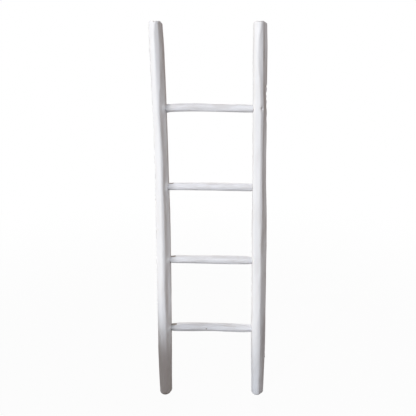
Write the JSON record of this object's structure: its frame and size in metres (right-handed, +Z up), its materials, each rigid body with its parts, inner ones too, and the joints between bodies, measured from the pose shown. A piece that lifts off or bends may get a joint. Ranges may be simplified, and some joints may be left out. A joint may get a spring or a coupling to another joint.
{
  "type": "decorative ladder",
  "caption": "Rustic leaning ladder of crooked round wooden poles joined by slimmer round rungs, painted white, for draping throws or towels.",
  "frame": {"origin": "on the floor, under the middle of the ladder's outline", "axes": "+Z up along the poles, +X to the right of someone facing the ladder, +Y towards the wall it leans on"},
  "size_m": [0.4434, 0.0682, 1.5],
  "materials": {
    "pole_paint": "matt white paint on hand-shaven wood",
    "rung_paint": "thin matt white paint, bare brown wood at the shoulders",
    "peg_wood": "bare wood, painted over at its outer end"
  },
  "bodies": {
    "root": {"pole_left": "pole_paint", "pole_right": "pole_paint", "rung_1": "rung_paint", "rung_2": "rung_paint", "rung_3": "rung_paint", "rung_4": "rung_paint", "peg_1_left": "peg_wood", "peg_1_right": "peg_wood", "peg_2_left": "peg_wood", "peg_2_right": "peg_wood", "peg_3_left": "peg_wood", "peg_3_right": "peg_wood", "peg_4_left": "peg_wood", "peg_4_right": "peg_wood"}
  },
  "joints": []
}
